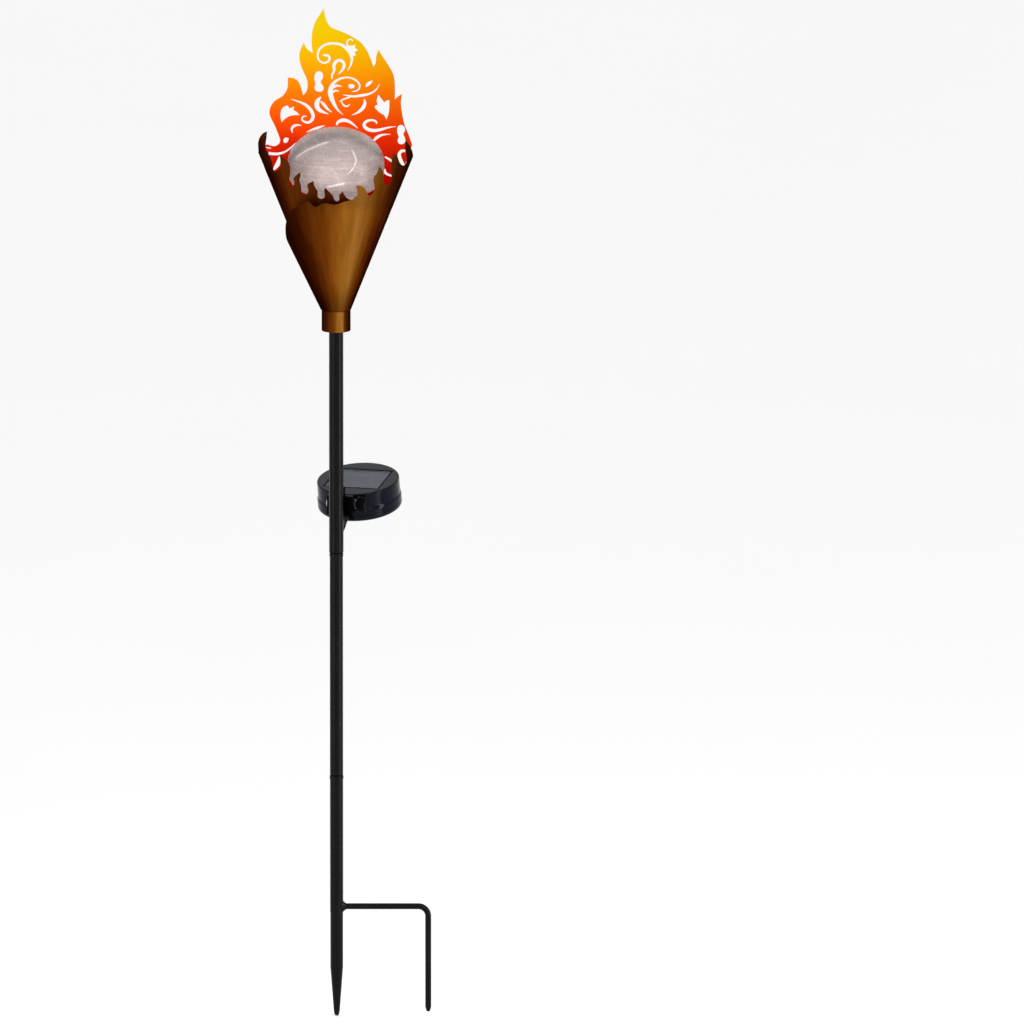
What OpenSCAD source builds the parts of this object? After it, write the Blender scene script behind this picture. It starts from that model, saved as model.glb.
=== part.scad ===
// Solar garden torch: a flame panel and a glass globe in a rolled sheet cone,
// on a push-together pole with a tilting solar unit and a pronged ground stake.
// Z is up, the origin is on the pole's axis at ground level.

/* [Pole] */
// Outside diameter of the lower and the middle pole tube
tube_d = 12; // [10:0.5:12]
// Outside diameter of the upper pole tube
upper_d = 13; // [12.6:0.1:13.4]
// Wall thickness of the tubes
tube_wall = 1; // [0.8:0.1:1.2]
// Length of the reduced end that plugs into the tube below
plug_l = 20; // [12:1:30]
// Radial play of a reduced end in its tube
plug_play = 0.05; // [0.03:0.01:0.08]
// Height of the joint between the lower and the middle tube
low_joint_z = 129; // [110:1:150]
// Height of the joint between the middle and the upper tube
high_joint_z = 334; // [300:1:338]
// Diameter of the part of the lower tube that goes into the soil
stake_d = 11.6; // [9.6:0.1:11.6]
// Depth at which the stake starts to taper
taper_z = -48; // [-60:1:-40]
// Depth of the stake's point
point_z = -93; // [-110:1:-80]

/* [Prong] */
// Rod diameter of the second prong
prong_d = 5.5; // [5:0.5:6.5]
// Distance of the second prong from the pole
prong_x = 83; // [60:1:90]
// Height of the rod's level part
bar_z = 8; // [8:1:12]
// Bend radius of the rod, on its centre line
prong_bend = 9; // [7:1:12]
// Depth of the second prong's end
prong_z = -89; // [-100:1:-70]

/* [Head] */
// Outside diameter of the collar under the cone
collar_d = 26.2; // [24:0.2:28]
// Height of the collar
collar_h = 19; // [14:1:24]
// Height of the cone's lower end
cone_z = 558; // [556:1:560]
// Radius of the cone at its lower end
cone_r = 13.5; // [13.3:0.1:13.7]
// Radius that the cone gains for each millimetre of height
cone_flare = 0.4; // [0.39:0.005:0.41]
// Sheet thickness of the cone and of the flame panel, along the radius
sheet = 0.6; // [0.5:0.05:0.7]
// Lean of the outer sheet to the left, in degrees
wrap_lean = 1.95; // [1.5:0.05:2.2]
// Downward slope at which the outlines are cut through the rolled sheets
cut_slope = 10.5; // [9:0.5:12]

/* [Globe] */
// Widest diameter of the globe
globe_d = 88; // [80:1:92]
// Height of the globe without its neck
globe_h = 66; // [60:1:70]
// Height of the globe's centre above ground
globe_z = 692; // [690:1:696]
// Wall thickness of the glass
glass = 2.2; // [1.6:0.1:2.6]

/* [Solar unit] */
// Diameter of the unit's upper wall
unit_d = 74.8; // [70:0.2:76]
// Height of the unit
unit_h = 27; // [26:0.5:30]
// Height of the seam between the unit's base and lid
seam_h = 6; // [5.5:0.5:7]
// Height of the tilt pivot above ground
pivot_z = 376; // [370:1:380]
// Distance of the tilt pivot from the pole's axis
pivot_d = 20; // [19:0.5:22]
// Distance of the unit's centre from the pivot
unit_off = 44; // [43.5:0.5:48]
// Turn of the bracket's arm from straight back towards the right, in degrees
arm_turn = 18.4; // [0:0.2:30]
// Tilt of the unit towards the pole as it stands, in degrees
unit_tilt = 13; // [0:1:20]
// Width and depth of the solar cell
cell_size = [50, 41]; // [30:1:52]

/* [Lead] */
// Diameter of the lead
lead_d = 2.2; // [1.8:0.1:2.4]
// Height of the grommet in the pole
grommet_z = 348; // [346:1:349]

/* [Hidden] */
$fn = 64;
tube_r = tube_d / 2;
upper_r = upper_d / 2;
play = 0.35;
bore_r = tube_r - tube_wall;
plug_r = bore_r - plug_play;
collar_z = cone_z - collar_h;
art_z = 618;
skirt_r = unit_d / 2 + 0.9;
pivot_h = 21;
window = [cell_size[0] + 3, cell_size[1] + 3];
gland_x = 5;
gland_h = 12;
battery_y = 10;
battery_h = 10.6;
boss_ring = 31;
boss_turns = [45, 135, 225, 315];
switch_at = [-12, -16];
// wrap: a wider cone whose right side lies on the inner sheet
wrap_flare = tan(atan(cone_flare) + wrap_lean);
wrap_r = (cone_r - sheet) / (cos(wrap_lean) - cone_flare * sin(wrap_lean));

// Outlines, in millimetres from the axis and from the art line. A third value
// of 1 marks a sharp corner; the other points are joined by a smooth curve.
rim_left = [[-71, 76, 1], [-69.9, 84], [-70.2, 90], [-68.9, 95], [-66, 99], [-61.8, 101, 1], [-62.4, 95],
    [-63.3, 89], [-62.5, 84], [-59.5, 78.7], [-57.5, 73], [-56.4, 67], [-54.9, 64.5], [-52.2, 66],
    [-49.8, 69.5], [-49.2, 73.5], [-50.8, 79.8, 1], [-47.3, 77.7], [-43.5, 74.5], [-41, 69], [-41.2, 61],
    [-42.6, 54.5], [-41.2, 52.1], [-38.3, 52.1], [-37.2, 54.5], [-38, 58.5], [-36, 61], [-32.3, 64, 1],
    [-31.5, 61], [-32.8, 57], [-31.2, 52], [-31, 48], [-30.2, 45], [-28, 44], [-25.5, 45.1], [-24.6, 48],
    [-25.7, 52], [-24, 54.3], [-19.6, 56, 1], [-19.4, 52], [-16.3, 47], [-16.5, 43.5], [-15.3, 41],
    [-12.8, 40.1], [-10.4, 41.3], [-9.7, 44], [-10.5, 47], [-9.4, 50.1, 1], [-4.6, 45.2], [-2.2, 42.5],
    [-1.3, 39.5], [0.9, 37.9], [3, 38.7], [3.3, 41], [3.2, 43.7], [6.5, 46.8, 1], [8, 43.5], [10.8, 40.3],
    [14.5, 39]];
rim_hidden = [[22, 36], [30, 37], [38, 41], [46, 46], [54, 56], [61, 64], [70, 70, 1]];
rim_right = [[14.5, 39], [18.6, 41.4], [19.7, 44.7], [19.2, 48.3], [18.2, 52.2, 1], [22.5, 51.9],
    [26, 49.8], [28, 46], [30.4, 42.4, 1], [33, 44.5], [35, 47.5], [35, 51], [34, 56], [34.6, 60],
    [37, 62.6], [38.3, 66], [39, 69.4, 1], [41.5, 67], [43.2, 62.5], [43.4, 57], [44.3, 53.3], [46.4, 52.2],
    [48.4, 53.6], [50, 58], [50.4, 64], [50, 70], [50.7, 76.5], [51.4, 81.3, 1], [54.5, 80], [56.6, 76],
    [57.6, 72.3], [60.3, 70.5], [62.4, 70.9], [63.9, 75], [63.4, 81], [62.5, 87.5], [63.6, 93, 1],
    [66.5, 88.5], [69, 83.5], [69.8, 78.5], [69.9, 74, 1]];
wrap_edge = [[-42, -2, 1], [-45, 5], [-45.6, 13.5], [-44.8, 20], [-42, 27], [-38.5, 31], [-31.5, 34.8],
    [-26.5, 38], [-23.3, 36.8], [-19.5, 33.2], [-16.5, 33.2], [-12.5, 35.6], [-8, 36], [-3, 34.9],
    [2, 35.3], [7, 37.3]];
flame_edge = [[-90, 84, 1], [-68, 86], [-63, 90.2, 1], [-59.8, 89.3], [-56.4, 88.6], [-53.2, 89.7],
    [-51, 92.2], [-51.1, 95.5], [-53, 101], [-56, 108], [-59.5, 115], [-60.5, 119.5], [-59.5, 124],
    [-56, 129.5], [-49, 134], [-45.5, 138.5],
    [-44, 143.5], [-44, 151, 1], [-38.5, 150.5], [-34, 147], [-32, 142], [-30, 135, 1], [-27, 139],
    [-26, 145], [-27.5, 151.5], [-31.5, 160], [-33.5, 168], [-33, 175], [-29.5, 183, 1], [-27, 177.5],
    [-21.5, 173.5, 1], [-22.5, 182], [-22, 192], [-19, 202], [-11.5, 214, 1], [-10.5, 208], [-8.5, 201.5],
    [-4.5, 196.5], [3, 193.5], [12, 189.5], [21.5, 183.5], [27.5, 176], [31, 168], [33.5, 161, 1],
    [35.5, 164], [36, 170], [38, 176.5, 1], [42, 170], [47, 162.5], [51.5, 154], [53, 145], [53, 131, 1],
    [55.5, 133.5], [59.5, 136, 1], [58.5, 128], [59.5, 119], [61.7, 108.5], [65.3, 99.5], [68.1, 91.5],
    [69.6, 84], [70, 76, 1]];

// Cut-outs drawn as strokes: across, up, stroke width
scroll_top = [[-12, 171.5, 1.6], [-7.5, 171, 2.2], [-6.2, 168, 2], [-8, 165.3, 1.8], [-12, 164.5, 1.6],
    [-15.5, 166.5, 1.6], [-17, 170.5, 1.6], [-16, 176, 1.8], [-12, 180, 1.8], [-6.5, 182, 2], [-1, 182, 2],
    [4.5, 181, 2.4], [9, 177.5, 2.8], [12.5, 173.5, 3], [14, 168.5, 2.4], [13, 162.5, 1.4], [10, 157.5, 0.4]];
curl_top = [[10.5, 177, 1.4], [9.5, 182, 1.2], [10.5, 185, 1.2], [13, 186, 1.2], [15, 184.5, 0.8]];
keyhole = [[-4, 150, 1.2], [-4, 153.5, 1.6], [-2, 157.5, 2], [-2.4, 161.5, 2.8], [-1, 165, 2.8],
    [2.8, 167, 2.6], [6.2, 165, 2.6], [7, 161.5, 2.6], [5, 157.5, 1.8], [1.5, 154, 0.4]];
big_swirl = [[6, 117.5, 0.4], [1.5, 121.5, 1.6], [-2.5, 128, 3.2], [-5, 134.5, 4.4], [-5.5, 139.5, 4.2],
    [-3.5, 145, 3], [1, 149, 2], [6.5, 151, 1.6], [12.5, 151, 1.4], [18, 148.5, 1.6], [21, 144.5, 1.6],
    [20.5, 140.8, 1.4], [17.5, 138.8, 1.2], [14, 138.5, 0.6]];
prong_a = [[-4.5, 141.2, 2.2], [0, 143.8, 2.2], [5, 143, 0.4]];
prong_b = [[-5, 136.8, 1.8], [-1, 139.3, 1.8], [2.5, 138.5, 0.4]];
swoosh = [[39, 145, 0.4], [36, 140, 1.2], [30.5, 136.5, 1.8], [23.5, 135, 2.4], [16.5, 134, 2],
    [11, 134.6, 1.4], [6, 135.5, 0.4]];
swoosh_b = [[13, 133.6, 1.2], [6.5, 131.5, 1.4], [2.5, 129, 0.4]];
small_curl = [[4.6, 129.6, 0.8], [6.3, 126.2, 1.5], [9.5, 125, 1.4], [12.5, 127, 0.5]];
crescent = [[25, 131.5, 0.8], [26, 128, 2.6], [24, 123.5, 3.2], [19.5, 119.5, 2], [14, 117, 0.4]];
petal_a = [[-14, 133.5, 0.8], [-17, 130, 3.8], [-17.6, 125, 4.2], [-14.5, 121, 3.2], [-7, 118, 0.4]];
petal_b = [[-14.4, 129.6, 1.2], [-11.2, 126.6, 2.6], [-8.2, 122.8, 2], [-4, 119.5, 0.4]];
hook_left = [[-41, 131.5, 0.4], [-35, 129.5, 1.4], [-28, 126.5, 2.4], [-23, 121.5, 3], [-21, 116, 3],
    [-23, 111.5, 2.6], [-27, 110.3, 2], [-31, 112.5, 1.6], [-30.2, 115.6, 1.4], [-27, 116, 0.8]];
arc_left = [[-39.5, 101, 0.8], [-40.5, 104, 1.8], [-38.5, 107, 2.4], [-35, 108, 1.6], [-31.5, 107.5, 0.4]];
arc_globe = [[0, 108, 1.2], [1.8, 111, 2.6], [6, 112.5, 3.2], [11, 111.5, 2.6], [15.5, 108.5, 1.6],
    [19.5, 105, 0.4]];
scroll_right = [[54, 106.5, 0.4], [46.5, 105.5, 1.6], [39, 103.5, 2.6], [32.5, 103, 3], [27, 105, 3],
    [25, 108.5, 2.8], [27.5, 111.5, 2.4], [32.5, 112.5, 1.8], [36, 111, 1.8], [36.5, 109, 0.8]];
wedge = [[49, 99.5, 0.4], [41.5, 99, 1.8], [36.5, 96.5, 2.8], [34, 94, 1.4]];
long_line = [[-61, 82, 2.4], [-53.5, 81.5, 2.4], [-46.5, 83.5, 1.6], [-41, 87.5, 1.2], [-36.5, 92, 0.4]];
slot_left = [[-51.3, 79.5, 0.8], [-52, 75.5, 3], [-53, 72, 4], [-55.5, 68.5, 2.6], [-56.6, 67, 0.8]];
dash_left = [[-63.5, 87.3, 0.6], [-60.5, 86.9, 1], [-58.6, 86.6, 0.4]];
hook_right = [[62.5, 84, 2], [59.5, 84.3, 2.6], [57, 81.5, 3], [57.8, 77, 3.2], [59.8, 73, 3],
    [61.5, 70.8, 1.4]];
mark_a = [[44, 79, 1.2], [47.5, 77, 1.8], [51, 74.5, 1.6]];
mark_b = [[44.2, 68, 1], [44, 65.5, 2.2], [46, 63.3, 2], [50.8, 61.4, 1.4]];
sliver = [[-27, 101.5, 0.4], [-21.5, 104, 1.8], [-15.5, 106, 2], [-10.5, 107.5, 0.4]];
strokes = [scroll_top, curl_top, keyhole, big_swirl, prong_a, prong_b, swoosh, swoosh_b, small_curl,
    crescent, petal_a, petal_b, hook_left, arc_left, arc_globe, scroll_right, wedge, long_line, slot_left,
    dash_left, hook_right, mark_a, mark_b, sliver];

// Cut-outs drawn as outlines
leaf_top = [[9, 179.5], [10.5, 180.5], [13.5, 180], [17.5, 181, 1], [16.5, 178.5, 1], [19.5, 176, 1],
    [16.5, 174.5, 1], [17.5, 171, 1], [14.5, 171], [12, 174]];
bone_left = [[-19, 155], [-15.5, 157], [-12.2, 154.5], [-12.5, 150.5], [-14.3, 147], [-12, 143.5],
    [-11.8, 140], [-14.5, 138.2], [-18.3, 139], [-20, 142], [-18.8, 145.5], [-20, 149.5]];
leaf_mid = [[26.5, 142.3, 1], [27, 145.5], [29.5, 147.5], [33, 148.5, 1], [31.5, 145.5], [29, 143.5]];
bird_right = [[38, 135.5, 1], [41, 131.5], [43.5, 128.5, 1], [45.5, 130], [48, 130.7, 1], [48, 124.5],
    [47.5, 119], [45.5, 113, 1], [43, 117], [39, 119.5], [35, 123.5], [35.2, 125.5], [37.5, 126.3, 1],
    [36.5, 130]];
bird_left = [[-49.5, 110.3, 1], [-50.5, 116], [-50, 121], [-47.5, 124.5], [-44, 125.5], [-42.5, 123, 1],
    [-38, 124.7, 1], [-39, 121.5, 1], [-36, 119.8], [-33, 117, 1], [-37.5, 117], [-42.5, 116],
    [-46.5, 113.5]];
bone_right = [[55.5, 106], [58.5, 108], [61.8, 106], [62.2, 102.5], [60.6, 99.5], [62.2, 96],
    [62.4, 92.5], [60, 90.3], [56.6, 91], [55.6, 94], [56.6, 97], [55.2, 101]];
tear = [[-47.5, 92, 1], [-47.8, 94.5], [-46, 96.5], [-43, 96, 1], [-43.6, 93.5], [-45.5, 91.6]];
dot_mid = [[11.3, 144.9], [13.9, 145.1], [16.2, 144.3], [16.2, 142.2], [13.6, 141.1], [11.2, 142.2]];
blobs = [leaf_top, bone_left, leaf_mid, bird_right, bird_left, bone_right, tear, dot_mid];

// Route of the lead: from the light to the pole's grommet, and from there to the unit's gland,
// in the bracket arm's own directions (across, along the arm, height above ground)
head_route = [[0, 0, 642], [0, 0, 639], [0, 0, 636], [2, -1, 616], [0, -2, 590], [-1, 0, 566], [0, 0, 540],
    [0, 0, 420], [0, 0, 362], [0, 0, 354], [0, 1, 350], [0, 3, 348], [0, 5, 348], [0, 8, 348]];
free_route = [[0, 8, 348], [0, 8.6, 348], [0, 9.2, 348], [0, 11, 348.6], [0.5, 13.6, 350.2], [1.5, 15.2, 353],
    [2.5, 16, 356.2], [3.5, 16.6, 359.8], [4.4, 17.9, 363.2], [4.8, 20.2, 366], [5, 23.2, 367.5],
    [5, 27.7, 368.6], [5, 32, 369.6]];

function xy(p) = [p[0], p[1]];
function curve(p0, p1, p2, p3, t) = 0.5 * (2 * p1 + (p2 - p0) * t + (2 * p0 - 5 * p1 + 4 * p2 - p3) * t * t
    + (3 * p1 - p0 - 3 * p2 + p3) * t * t * t);
// Smooth line through points, n steps a span, breaking at the points marked as corners
function through(p, n) = let(m = len(p) - 1) [for (i = [0:m - 1])
    let(a = xy(p[i]), b = xy(p[i + 1]),
        a0 = i == 0 || p[i][2] == 1 ? 2 * a - b : xy(p[i - 1]),
        b1 = i == m - 1 || p[i + 1][2] == 1 ? 2 * b - a : xy(p[i + 2]))
    for (k = [0:n - 1]) curve(a0, a, b, b1, k / n), xy(p[m])];
function ring_of(p, n) = let(m = len(p)) [for (i = [0:m - 1])
    let(a = xy(p[i]), b = xy(p[(i + 1) % m]),
        a0 = p[i][2] == 1 ? 2 * a - b : xy(p[(i + m - 1) % m]),
        b1 = p[(i + 1) % m][2] == 1 ? 2 * b - a : xy(p[(i + 2) % m]))
    for (k = [0:n - 1]) curve(a0, a, b, b1, k / n)];
function line3(p, n) = let(m = len(p) - 1) [for (i = [0:m - 1])
    let(a = i == 0 ? 2 * p[0] - p[1] : p[i - 1], b = i == m - 1 ? 2 * p[m] - p[m - 1] : p[i + 2])
    for (k = [0:n - 1]) curve(a, p[i], p[i + 1], b, k / n), p[m]];
// Outline of a stroke of varying width
function brush(path, n) = let(s = line3(path, n), m = len(s) - 1,
    side = [for (i = [0:m]) let(d = xy(s[min(i + 1, m)]) - xy(s[max(i - 1, 0)])) [-d[1], d[0]] / norm(d)])
    concat([for (i = [0:m]) xy(s[i]) + side[i] * s[i][2] / 2],
           [for (i = [m:-1:0]) xy(s[i]) - side[i] * s[i][2] / 2]);
function unit(v) = v / norm(v);
// Quarter arc from angle a to b about a centre
function arc(c, r, a, b, n) = [for (i = [0:n]) c + r * [cos(a + (b - a) * i / n), sin(a + (b - a) * i / n)]];

// Frames of reference
module art() translate([0, 0, art_z]) rotate([90 - cut_slope, 0, 0]) children();
module on_arm() rotate([0, 0, -arm_turn]) children();
module on_pivot() on_arm() translate([0, pivot_d, pivot_z]) children();
module in_unit() on_pivot() rotate([unit_tilt, 0, 0]) translate([0, unit_off, -pivot_h]) children();
module on_cone(turn, z, out) rotate([0, 0, turn])
    translate([cone_r + cone_flare * (z - cone_z) + out, 0, z]) rotate([0, 90 + atan(cone_flare), 0])
    children();

// Shapes that repeat
module ring(ro, ri, h) difference() {
    cylinder(r = ro, h = h);
    translate([0, 0, -1]) cylinder(r = ri, h = h + 2);
}
module cone_sheet(out, z0, z1) rotate_extrude($fn = 128) polygon([for (p = [[0, z0], [0, z1], [-sheet, z1],
    [-sheet, z0]]) [cone_r + cone_flare * (p[1] - cone_z) + out + p[0], p[1]]]);
module half_space(front) translate([-150, front ? -200 : 0, 500]) cube([300, 200, 400]);
module pan_screw(shaft_r, l, head_r, head_h) {
    cylinder(r = shaft_r, h = l + 0.01);
    translate([0, 0, l]) difference() {
        union() {
            cylinder(r = head_r, h = head_h * 0.6);
            translate([0, 0, head_h * 0.6]) cylinder(r1 = head_r, r2 = head_r * 0.7, h = head_h * 0.4);
        }
        for (a = [0, 90]) rotate([0, 0, a]) translate([-head_r * 0.6, -0.3, head_h * 0.5])
            cube([head_r * 1.2, 0.6, head_h]);
    }
}
module lead(route, n) {
    p = line3(route, n);
    m = len(p) - 1;
    sides = 8;
    dirs = [for (i = [0:m]) unit(p[min(i + 1, m)] - p[max(i - 1, 0)])];
    a = [for (i = [0:m]) unit(cross(dirs[i], [1, 0, 0]))];
    pts = [for (i = [0:m]) for (k = [0:sides - 1])
        p[i] + lead_d / 2 * (cos(360 * k / sides) * a[i] + sin(360 * k / sides) * cross(dirs[i], a[i]))];
    polyhedron(pts, concat([[for (k = [0:sides - 1]) k]],
        [for (i = [0:m - 1]) for (k = [0:sides - 1]) let(j = (k + 1) % sides, u = i * sides, v = u + sides)
            for (t = [[u + k, v + k, v + j], [u + k, v + j, u + j]]) t],
        [[for (k = [sides - 1:-1:0]) m * sides + k]]));
}

// Head
module rivet_holes(turn_z, out, r) for (t = turn_z) on_cone(t[0], t[1], out) translate([0, 0, -4])
    cylinder(r = r, h = 8, $fn = 24);
// middle of each rivet's grip, along the radius
panel_grip = -1.5 * sheet - 1.5 * play - 0.3;
wrap_grip = -0.6;
panel_rivet_at = [[55, 649], [90, 649], [125, 649], [25, 666], [155, 666]];
wrap_rivet_at = [[35, 588], [35, 620]];
back_rim = [[-76, 702], [-69, 696], [-56, 678], [-40, 664], [-15, 659], [15, 659], [40, 664], [56, 676],
    [66, 692], [74, 702]];
back_wrap = [[-60, 600], [-42, 614], [-15, 620], [15, 630], [40, 641], [56, 656], [66, 678], [74, 696]];

module flame_panel() color([0.98, 0.55, 0.05]) difference() {
    intersection() {
        cone_sheet(-2 * (sheet + play), 640, 830);
        half_space(false);
        art() mirror([0, 0, 1]) linear_extrude(height = 160)
            polygon(concat(through(flame_edge, 3), [[70, -50], [-90, -50]]));
    }
    art() mirror([0, 0, 1]) linear_extrude(height = 160) for (s = strokes) polygon(brush(s, 2));
    art() mirror([0, 0, 1]) linear_extrude(height = 160) for (s = blobs) polygon(ring_of(s, 2));
    rivet_holes(panel_rivet_at, panel_grip, 1.45);
}
module front_cut(edge) intersection() {
    art() linear_extrude(height = 220) polygon(concat([[-110, edge[0][1]]], edge,
        [[110, edge[len(edge) - 1][1]], [110, 220], [-110, 220]]));
    half_space(true);
}
module back_cut(edge) rotate([90, 0, 0]) mirror([0, 0, 1]) linear_extrude(height = 200)
    polygon(concat([[-120, edge[0][1]]], through(edge, 3), [[120, edge[len(edge) - 1][1]], [120, 850],
        [-120, 850]]));
module cone_shell() color([0.36, 0.18, 0.05]) difference() {
    cone_sheet(-sheet - play, cone_z + 0.1, 760);
    front_cut(through(concat(rim_left, rim_hidden), 2));
    back_cut(back_rim);
    rivet_holes(panel_rivet_at, panel_grip, 1.45);
    rivet_holes(wrap_rivet_at, wrap_grip, 1.25);
}
module cone_wrap() color([0.42, 0.22, 0.07]) difference() {
    translate([0, 0, cone_z]) rotate([0, -wrap_lean, 0]) rotate_extrude($fn = 128)
        polygon([for (p = [[0, -3], [0, 170], [sheet, 170], [sheet, -3]])
            [wrap_r + wrap_flare * p[1] + p[0], p[1]]]);
    translate([-30, -30, cone_z - 20]) cube([60, 60, 20.2]);
    front_cut(concat(through(wrap_edge, 2), through(rim_right, 2)));
    back_cut(back_wrap);
    rivet_holes(wrap_rivet_at, wrap_grip, 1.25);
}
module rivet(grip, r, head_r) {
    cylinder(r = r, h = grip + 0.4, center = true, $fn = 24);
    for (s = [0, 1]) mirror([0, 0, s]) translate([0, 0, grip / 2]) {
        cylinder(r = head_r, h = 0.4, $fn = 24);
        translate([0, 0, 0.4]) cylinder(r1 = head_r, r2 = head_r * 0.55, h = 0.5, $fn = 24);
    }
}
module panel_rivets() color([0.25, 0.14, 0.06]) for (t = panel_rivet_at)
    on_cone(t[0], t[1], panel_grip) rivet(2, 1.4, 2.6);
module wrap_rivets() color([0.25, 0.14, 0.06]) for (t = wrap_rivet_at)
    on_cone(t[0], t[1], wrap_grip) rivet(2.9, 1.2, 2.2);
module collar() color([0.4, 0.22, 0.08]) rotate_extrude() polygon([[upper_r + 0.02, cone_z - 4],
    [collar_d / 2 - 1.2, cone_z - 4], [collar_d / 2 - 1.2, collar_z], [collar_d / 2 - 0.4, collar_z - 0.4],
    [collar_d / 2, collar_z + 0.2], [collar_d / 2, cone_z - 0.4], [collar_d / 2 - 0.4, cone_z],
    [cone_r - 1.7, cone_z], [cone_r - 1.7, cone_z + 7], [cone_r - 3.1, cone_z + 7], [cone_r - 3.1, cone_z],
    [upper_r + 0.02, cone_z]]);

function oval(rx, rz, a, b, n) = [for (i = [0:n]) let(t = a + (b - a) * i / n)
    [rx * cos(t), globe_z + rz * sin(t)]];
module glass_globe() color([0.8, 0.78, 0.8, 0.5]) {
    rx = globe_d / 2;
    rz = globe_h / 2;
    rotate_extrude($fn = 96) polygon(concat(
        oval(rx, rz, 90, -67.2, 30), [[17, 650], [18, 648.8], [17, 647.6]],
        [[14.8, 647.6], [14.8, 661]], oval(rx - glass, rz - glass, -69, 90, 30)));
}
module globe_seal() color([0.1, 0.1, 0.1]) translate([0, 0, 651]) ring(19.1, 17.3, 4);
module lamp_holder() color([0.12, 0.12, 0.12]) difference() {
    rotate_extrude() polygon([[4, 638], [17.5, 638], [17.5, 645.5],
    [21.2, 647.5], [21.2, 656], [19.3, 656], [19.3, 647.4], [15.5, 647.4], [15.5, 642], [12, 642], [12, 640],
    [4, 640]]);
    for (a = [30, 150, 270]) rotate([0, 0, a]) translate([13.8, 0, 637])
        cylinder(r = 1.25, h = 4.7, $fn = 24);
}
module holder_screws() color([0.7, 0.7, 0.7]) for (a = [30, 150, 270]) rotate([0, 0, a])
    translate([13.8, 0, 641.4]) mirror([0, 0, 1]) pan_screw(1.2, 4.4, 2.6, 1.6);
module support_disc() color([0.3, 0.28, 0.26]) difference() {
    union() {
        rotate_extrude($fn = 96) polygon([for (p = [[0, 637], [0, 639.6], [-0.8, 639.6], [-1.2, 638]])
            [cone_r + cone_flare * (p[1] - cone_z) - 2 * sheet - play - 0.15 + p[0], p[1]]]);
        translate([0, 0, 637]) cylinder(r = 42.9, h = 1, $fn = 96);
    }
    translate([0, 0, 636]) cylinder(r = 3.6, h = 3);
    for (a = [30, 150, 270]) rotate([0, 0, a]) translate([13.8, 0, 636]) cylinder(r = 1.5, h = 3);
    for (a = [0:60:300]) rotate([0, 0, a]) translate([31, 0, 636]) cylinder(r = 5, h = 3);
}
module led_board() color([0.1, 0.4, 0.2]) difference() {
    translate([0, 0, 642]) cylinder(r = 15.2, h = 1.6);
    for (x = [-1.27, 1.27]) translate([x, 0, 641]) cylinder(r = 0.45, h = 4, $fn = 24);
    translate([0, 6, 641]) cylinder(r = 1.3, h = 4, $fn = 24);
}
module led() color([1, 0.95, 0.75]) {
    for (x = [-1.27, 1.27]) translate([x, 0, 642]) cylinder(r = 0.3, h = 8.7, $fn = 16);
    translate([0, 0, 650.6]) cylinder(r = 2.9, h = 1);
    translate([0, 0, 651.5]) cylinder(r = 2.5, h = 4.6);
    translate([0, 0, 656]) intersection() {
        sphere(r = 2.5);
        translate([-3, -3, 0]) cube(6);
    }
}

// Pole
// tube with a reduced lower end; its shoulder stands just above the mouth of the tube below
module tube(r, z0, z1, lip) rotate_extrude() polygon(concat(
    [[plug_r - 1, z0 - plug_l], [plug_r - 0.4, z0 - plug_l], [plug_r, z0 - plug_l + 0.8], [plug_r, z0 - 0.9],
     [tube_r - 0.5, z0 + 0.3], [r, z0 + 0.8]],
    lip ? [[r, z1 - 3.5], [r + 0.3, z1 - 3], [r + 0.3, z1 - 0.3], [r, z1], [r - tube_wall + 0.5, z1],
           [r - tube_wall, z1 - 0.8]]
        : [[r, z1], [r - tube_wall, z1]],
    [[r - tube_wall, z0 + 4], [plug_r - 1, z0 + 3]]));
module upper_tube() color([0.08, 0.08, 0.08]) difference() {
    tube(upper_r, high_joint_z, cone_z + 6, false);
    on_arm() translate([0, 0, grommet_z]) rotate([-90, 0, 0]) cylinder(r = 2.5, h = 12);
    for (s = [-14, 14]) on_arm() translate([0, 0, pivot_z + s]) rotate([-90, 0, 0])
        cylinder(r = 1.25, h = 12);
}
module middle_tube() color([0.08, 0.08, 0.08]) tube(tube_r, low_joint_z, high_joint_z, true);
module lower_tube() color([0.08, 0.08, 0.08]) rotate_extrude() polygon(concat(
    [[0, point_z], [1.2, point_z + 0.3], [2.2, point_z + 1.6], [2.7, point_z + 4]],
    [[stake_d / 2, taper_z], [stake_d / 2, 2], [tube_r, 2.6]],
    [[tube_r, low_joint_z - 3.5], [tube_r + 0.3, low_joint_z - 3], [tube_r + 0.3, low_joint_z - 0.3],
     [tube_r, low_joint_z]],
    [[bore_r + 0.5, low_joint_z], [bore_r, low_joint_z - 0.8], [bore_r, 4], [4.7, 2], [4.7, taper_z],
     [0.8, point_z + 14], [0, point_z + 14]]));
module rod_line(r) {
    translate([0, 0, bar_z]) rotate([0, 90, 0]) cylinder(r = r, h = prong_x - prong_bend);
    translate([prong_x - prong_bend, 0, bar_z - prong_bend]) rotate([90, 0, 0])
        rotate_extrude(angle = 90) translate([prong_bend, 0]) circle(r = r);
    translate([prong_x, 0, prong_z + 4]) cylinder(r = r, h = bar_z - prong_bend - prong_z - 4);
    translate([prong_x, 0, prong_z]) cylinder(r1 = r * 0.55, r2 = r, h = 4);
}
module stake_prong() color([0.08, 0.08, 0.08]) difference() {
    rod_line(prong_d / 2);
    translate([0, 0, bar_z - 10]) cylinder(r = tube_r + 0.02, h = 20);
}
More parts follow.
